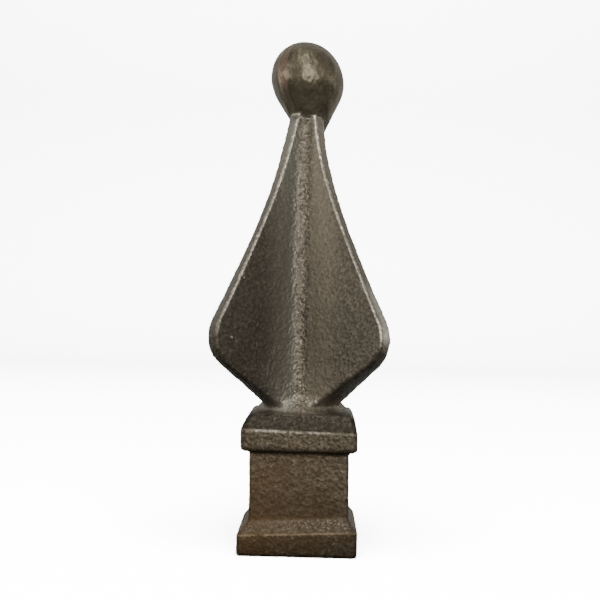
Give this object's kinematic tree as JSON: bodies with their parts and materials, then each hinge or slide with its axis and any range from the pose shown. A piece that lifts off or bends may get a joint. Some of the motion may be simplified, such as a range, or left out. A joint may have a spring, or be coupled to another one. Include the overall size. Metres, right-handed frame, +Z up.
{
  "type": "spear finial",
  "caption": "Cast-iron finial: a finned, hollow-faced spear with a ball tip on a collared square base, with a square socket that caps the end of a post or bar.",
  "frame": {"origin": "centre of the underside, where the rim of the socket stands on a surface", "axes": "+Z up the spear to the ball, front face towards -Y, the fins on the diagonals between X and Y"},
  "size_m": [0.0566, 0.0566, 0.1674],
  "materials": {
    "cast_iron": "bare oiled sand casting, dark olive brown with worn bright edges"
  },
  "bodies": {
    "root": {"finial": "cast_iron"}
  },
  "joints": []
}
